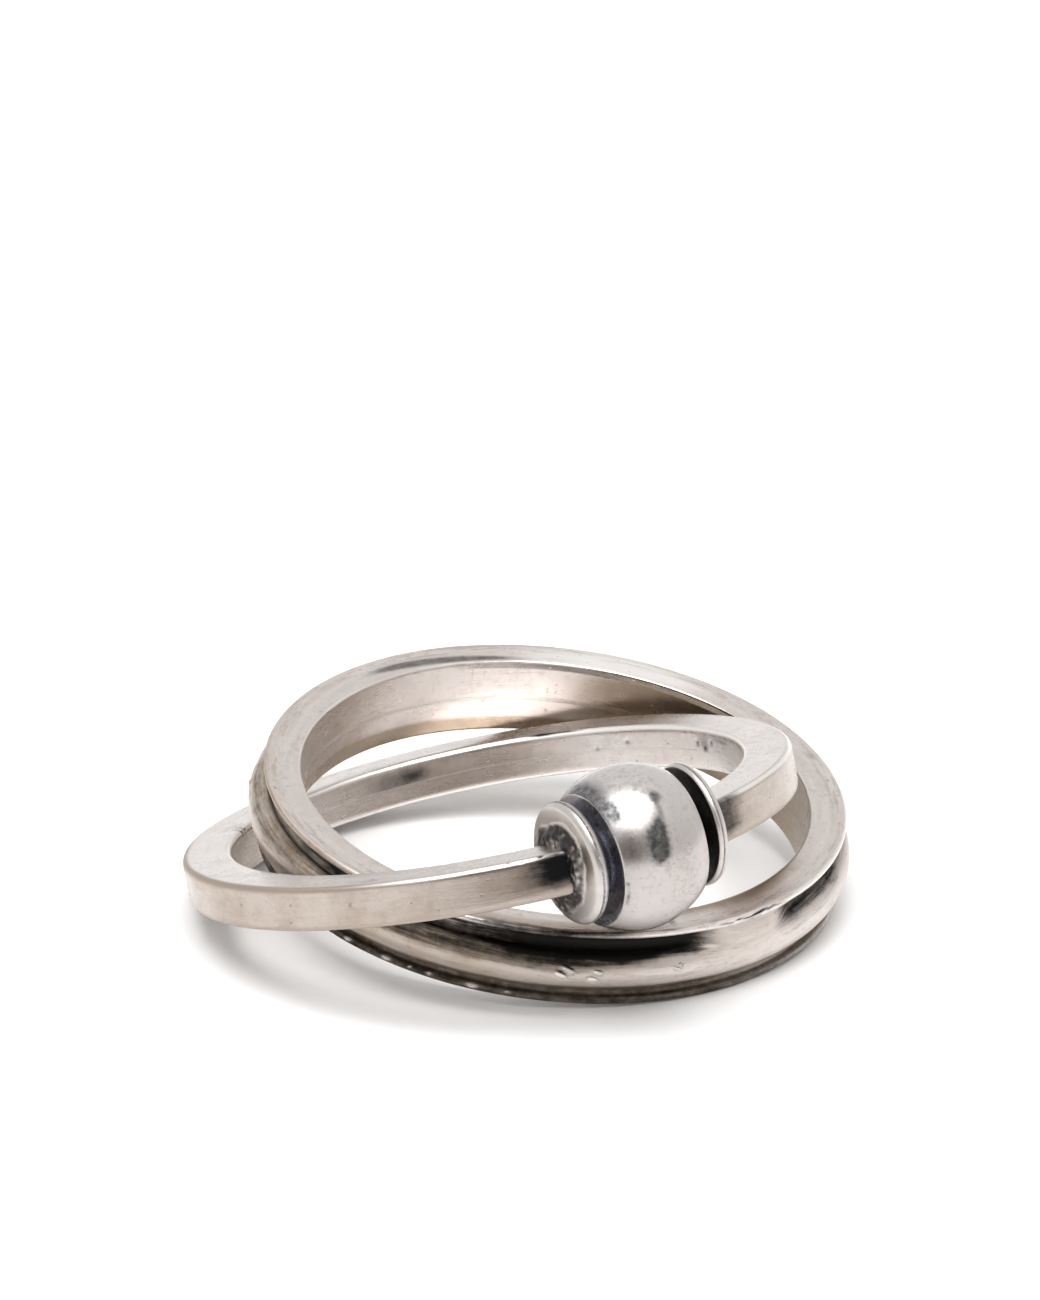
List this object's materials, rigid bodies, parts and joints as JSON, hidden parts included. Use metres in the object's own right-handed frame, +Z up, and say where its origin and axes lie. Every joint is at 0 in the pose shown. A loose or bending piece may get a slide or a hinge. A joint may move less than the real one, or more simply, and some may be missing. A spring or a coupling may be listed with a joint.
{
  "type": "interlocked double ring with ball bead",
  "caption": "Finger ring of linked silver bands: a moulded band with dark grooves, and a square wire band whose ball bead turns between stop discs.",
  "frame": {"origin": "middle of the pair's outline seen from above, on the surface that it lies on", "axes": "+Z up from the surface, -Y towards the side that carries the bead, +X to the right as seen from there"},
  "size_m": [0.0248, 0.0252, 0.0096],
  "materials": {
    "oxidised_silver": "sterling silver, satin on the ridge and side faces, blackened in the grooves",
    "satin_silver": "sterling silver wire, satin with fine pits and scratches, blackened beside the solder",
    "polished_silver": "sterling silver, polished, with mottled tarnish"
  },
  "bodies": {
    "bands": {"grooved_band": "oxidised_silver", "square_band": "satin_silver"},
    "bead": {"ball_bead": "polished_silver"}
  },
  "joints": [
    {"name": "bead_spin", "type": "hinge", "parent": "bands", "child": "bead", "pos_m": [0.00404, -0.00918, 0.00651], "axis": [0.8407, 0.5346, 0.0859], "continuous": true}
  ]
}
